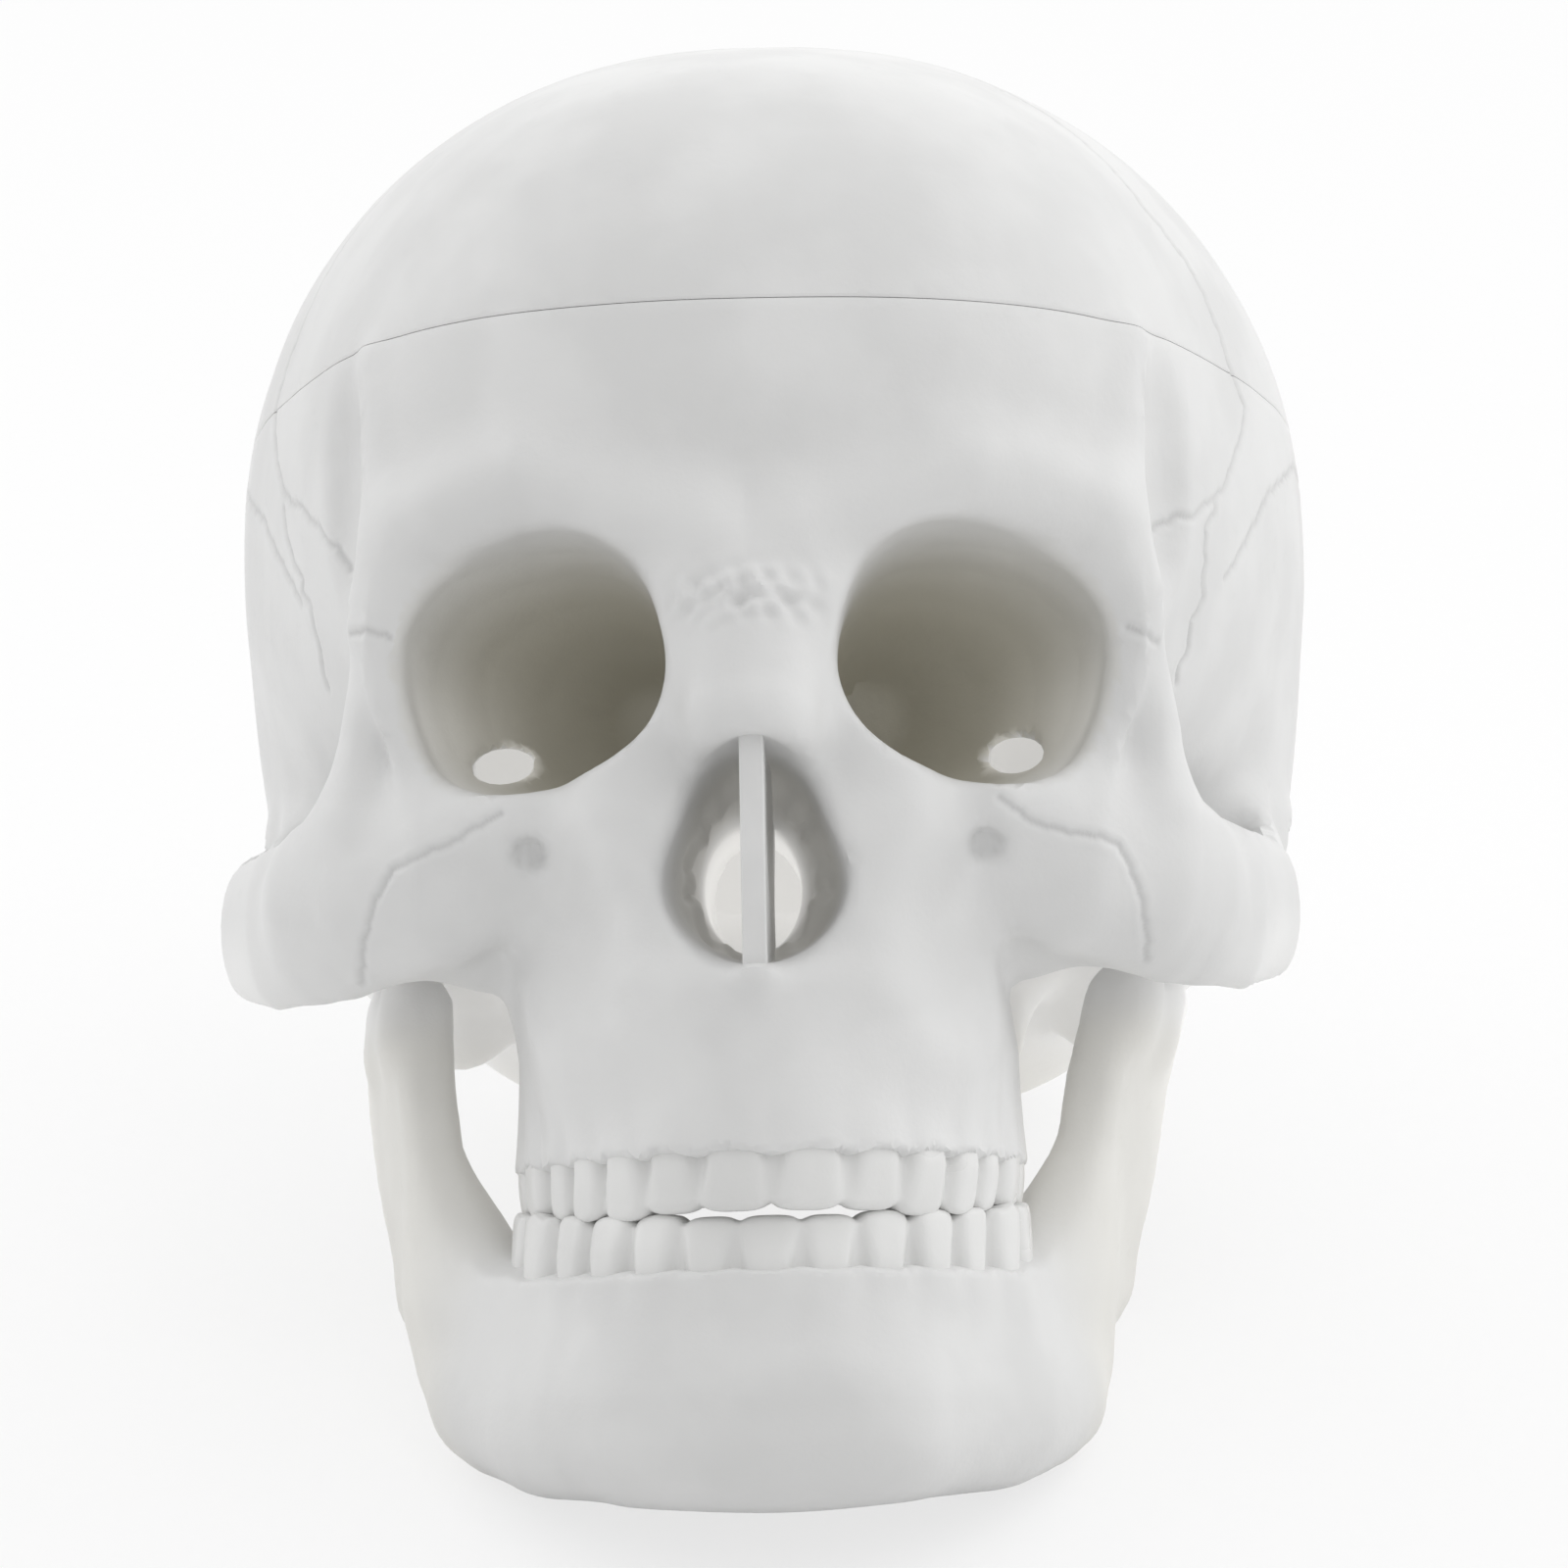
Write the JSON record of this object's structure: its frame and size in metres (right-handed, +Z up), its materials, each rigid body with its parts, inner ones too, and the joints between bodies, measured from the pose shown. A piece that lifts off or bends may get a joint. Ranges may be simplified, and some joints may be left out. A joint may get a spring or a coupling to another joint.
{
  "type": "human skull model",
  "caption": "Life-size white plastic skull: a lift-off cap with hook latches, a base with the face, and a sprung lower jaw that swings open.",
  "frame": {"origin": "centre of the bounding box's base, on the floor that the skull stands on", "axes": "-Y is the way the face looks, +X is to the right of someone facing it, +Z is up; the skull leans back on its lower jaw and the back of its base"},
  "size_m": [0.1506, 0.2276, 0.1665],
  "materials": {
    "bone_plastic": "satin",
    "tooth_plastic": "soft gloss",
    "steel": "plated"
  },
  "bodies": {
    "base": {"skull_base": "bone_plastic", "upper_teeth": "tooth_plastic", "nasal_septum": "bone_plastic", "cap_pin_front": "steel", "cap_pin_back_left": "steel", "cap_pin_back_right": "steel", "spring_screw_upper_right": "steel", "spring_screw_upper_left": "steel", "jaw_spring_right": "steel", "jaw_spring_left": "steel", "hook_pivot_screw_right": "steel", "hook_pivot_screw_left": "steel"},
    "cap": {"skull_cap": "bone_plastic", "catch_screw_right": "steel", "catch_screw_left": "steel"},
    "jaw": {"mandible": "bone_plastic", "lower_teeth": "tooth_plastic", "spring_screw_lower_right": "steel", "spring_screw_lower_left": "steel"},
    "right_hook": {"cap_hook_right": "steel"},
    "left_hook": {"cap_hook_left": "steel"}
  },
  "joints": [
    {"name": "jaw_hinge", "type": "hinge", "parent": "base", "child": "jaw", "pos_m": [0, -0.00543, 0.05201], "axis": [1, 0, 0], "range_deg": [0, 25], "stiffness_Nm_per_rad": 0.1, "springref_deg": -45.84, "deforming": ["jaw_spring_right", "jaw_spring_left"]},
    {"name": "cap_lift", "type": "slide", "parent": "base", "child": "cap", "axis": [0, 0.4649, 0.8854], "range_m": [0, 0.08]},
    {"name": "right_hook_swing", "type": "hinge", "parent": "base", "child": "right_hook", "pos_m": [0.07125, 0.06356, 0.08016], "axis": [0.948, 0.3149, 0.046], "range_deg": [0, 153.3]},
    {"name": "left_hook_swing", "type": "hinge", "parent": "base", "child": "left_hook", "pos_m": [-0.07125, 0.06356, 0.08016], "axis": [0.948, -0.3149, -0.046], "range_deg": [0, 153.3]}
  ]
}
